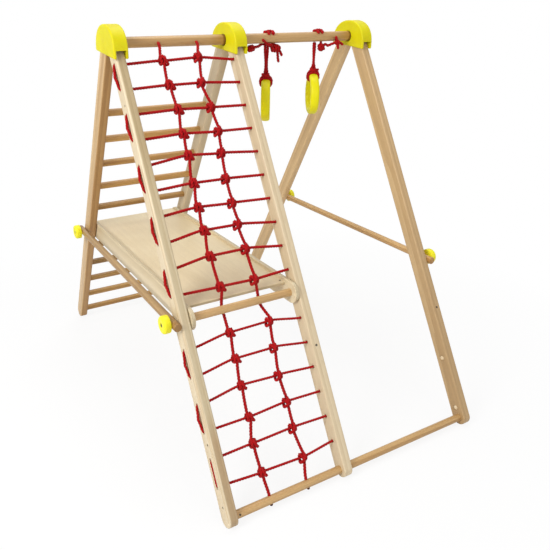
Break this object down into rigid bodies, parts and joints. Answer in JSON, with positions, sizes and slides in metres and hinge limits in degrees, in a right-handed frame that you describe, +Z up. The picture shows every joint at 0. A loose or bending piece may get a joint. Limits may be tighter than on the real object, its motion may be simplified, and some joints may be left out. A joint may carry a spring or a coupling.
{
  "type": "indoor climbing frame",
  "caption": "Folding wooden climbing frame with a rope net, a rear ladder, a low platform and two gymnastic rings, on round-ended legs under moulded hinge caps.",
  "frame": {"origin": "on the floor, under the middle of the object's box, half way between its outer knobs and between its front and rear feet", "axes": "+X along the top bars from the net side to the ring side, +Y from the net towards the ladder, +Z up"},
  "size_m": [1.0176, 1.4452, 1.263],
  "materials": {
    "leg_wood": "pale beech, satin varnish, long straight grain",
    "round_wood": "darker turned hardwood, satin varnish",
    "plywood": "varnished birch plywood",
    "plug_wood": "varnished wooden plug",
    "yellow_plastic": "yellow moulded plastic, fine satin sheen",
    "ring_plastic": "yellow moulded plastic, satin",
    "rope": "twisted dark red synthetic rope",
    "steel": "zinc-plated steel"
  },
  "bodies": {
    "front_frame": {"left_front_leg": "leg_wood", "middle_front_leg": "leg_wood", "right_front_leg": "leg_wood", "left_cap": "yellow_plastic", "middle_cap": "yellow_plastic", "right_cap": "yellow_plastic", "left_tie_stud": "steel", "middle_tie_stud": "steel", "right_tie_stud": "steel", "left_front_pin": "steel", "middle_front_pin": "steel", "right_front_pin": "steel", "left_rear_pin": "steel", "middle_rear_pin": "steel", "right_rear_pin": "steel", "left_top_bar": "round_wood", "right_top_bar": "round_wood", "left_bottom_dowel": "round_wood", "right_bottom_dowel": "round_wood", "climbing_net": "rope", "left_front_bolt": "steel", "middle_front_bolt": "steel", "right_front_bolt": "steel", "right_leg_upper_plug": "plug_wood", "right_leg_lower_plug": "plug_wood", "ring_left_hanger": "rope", "ring_right_hanger": "rope"},
    "rear_frame": {"left_rear_leg": "leg_wood", "middle_rear_leg": "leg_wood", "right_rear_leg": "leg_wood", "rear_rung_1": "round_wood", "rear_rung_2": "round_wood", "rear_rung_3": "round_wood", "rear_rung_4": "round_wood", "rear_rung_5": "round_wood", "rear_rung_6": "round_wood", "rear_rung_7": "round_wood", "rear_rung_8": "round_wood", "rear_rung_9": "round_wood", "rear_rung_10": "round_wood", "right_rear_bottom_dowel": "round_wood", "left_rear_bolt": "steel", "middle_rear_bolt": "steel", "right_rear_bolt": "steel"},
    "platform": {"platform_deck": "plywood", "platform_left_board": "plywood", "platform_right_board": "plywood", "platform_front_dowel": "round_wood", "platform_rear_dowel": "round_wood"},
    "left_stay": {"left_stay": "round_wood"},
    "right_stay": {"right_stay": "round_wood"},
    "left_front_knob": {"left_front_knob": "yellow_plastic"},
    "right_front_knob": {"right_front_knob": "yellow_plastic"},
    "left_rear_knob": {"left_rear_knob": "yellow_plastic"},
    "right_rear_knob": {"right_rear_knob": "yellow_plastic"},
    "ring_left_rope": {"ring_left_rope": "rope"},
    "ring_left": {"ring_left": "ring_plastic"},
    "ring_right_rope": {"ring_right_rope": "rope"},
    "ring_right": {"ring_right": "ring_plastic"}
  },
  "joints": [
    {"name": "rear_fold", "type": "hinge", "parent": "front_frame", "child": "rear_frame", "pos_m": [0, 0.0319, 1.1975], "axis": [-1, 0, 0], "range_deg": [0, 59]},
    {"name": "platform_tilt", "type": "hinge", "parent": "front_frame", "child": "platform", "pos_m": [-0.2515, -0.42707, 0.501], "axis": [-1, 0, 0], "range_deg": [0, 29.5]},
    {"name": "left_stay_lift", "type": "hinge", "parent": "front_frame", "child": "left_stay", "pos_m": [-0.4745, -0.42707, 0.501], "axis": [1, 0, 0], "range_deg": [0, 44.84]},
    {"name": "right_stay_lift", "type": "hinge", "parent": "front_frame", "child": "right_stay", "pos_m": [0.4745, -0.42707, 0.501], "axis": [1, 0, 0], "range_deg": [0, 44.84]},
    {"name": "left_front_knob_turn", "type": "hinge", "parent": "front_frame", "child": "left_front_knob", "pos_m": [-0.4978, -0.42707, 0.501], "axis": [1, 0, 0], "continuous": true},
    {"name": "left_rear_knob_turn", "type": "hinge", "parent": "rear_frame", "child": "left_rear_knob", "pos_m": [-0.4978, 0.42707, 0.501], "axis": [1, 0, 0], "continuous": true},
    {"name": "right_front_knob_turn", "type": "hinge", "parent": "front_frame", "child": "right_front_knob", "pos_m": [0.4978, -0.42707, 0.501], "axis": [1, 0, 0], "continuous": true},
    {"name": "right_rear_knob_turn", "type": "hinge", "parent": "rear_frame", "child": "right_rear_knob", "pos_m": [0.4978, 0.42707, 0.501], "axis": [1, 0, 0], "continuous": true},
    {"name": "ring_left_swing", "type": "hinge", "parent": "front_frame", "child": "ring_left_rope", "pos_m": [0.086, 0, 1.19], "axis": [1, 0, 0], "range_deg": [-50, 50]},
    {"name": "ring_left_tilt", "type": "hinge", "parent": "ring_left_rope", "child": "ring_left", "pos_m": [0.086, 0, 1.0732], "axis": [0.5446, 0.8387, 0], "range_deg": [-60, 60]},
    {"name": "ring_right_swing", "type": "hinge", "parent": "front_frame", "child": "ring_right_rope", "pos_m": [0.284, 0, 1.19], "axis": [1, 0, 0], "range_deg": [-50, 50]},
    {"name": "ring_right_tilt", "type": "hinge", "parent": "ring_right_rope", "child": "ring_right", "pos_m": [0.284, 0, 1.0817], "axis": [0.4384, 0.8988, 0], "range_deg": [-60, 60]}
  ],
  "couplings": [
    {"joint": "platform_tilt", "follows": "rear_fold", "ratio": 0.5},
    {"joint": "left_stay_lift", "follows": "rear_fold", "ratio": 0.76},
    {"joint": "right_stay_lift", "follows": "rear_fold", "ratio": 0.76}
  ]
}
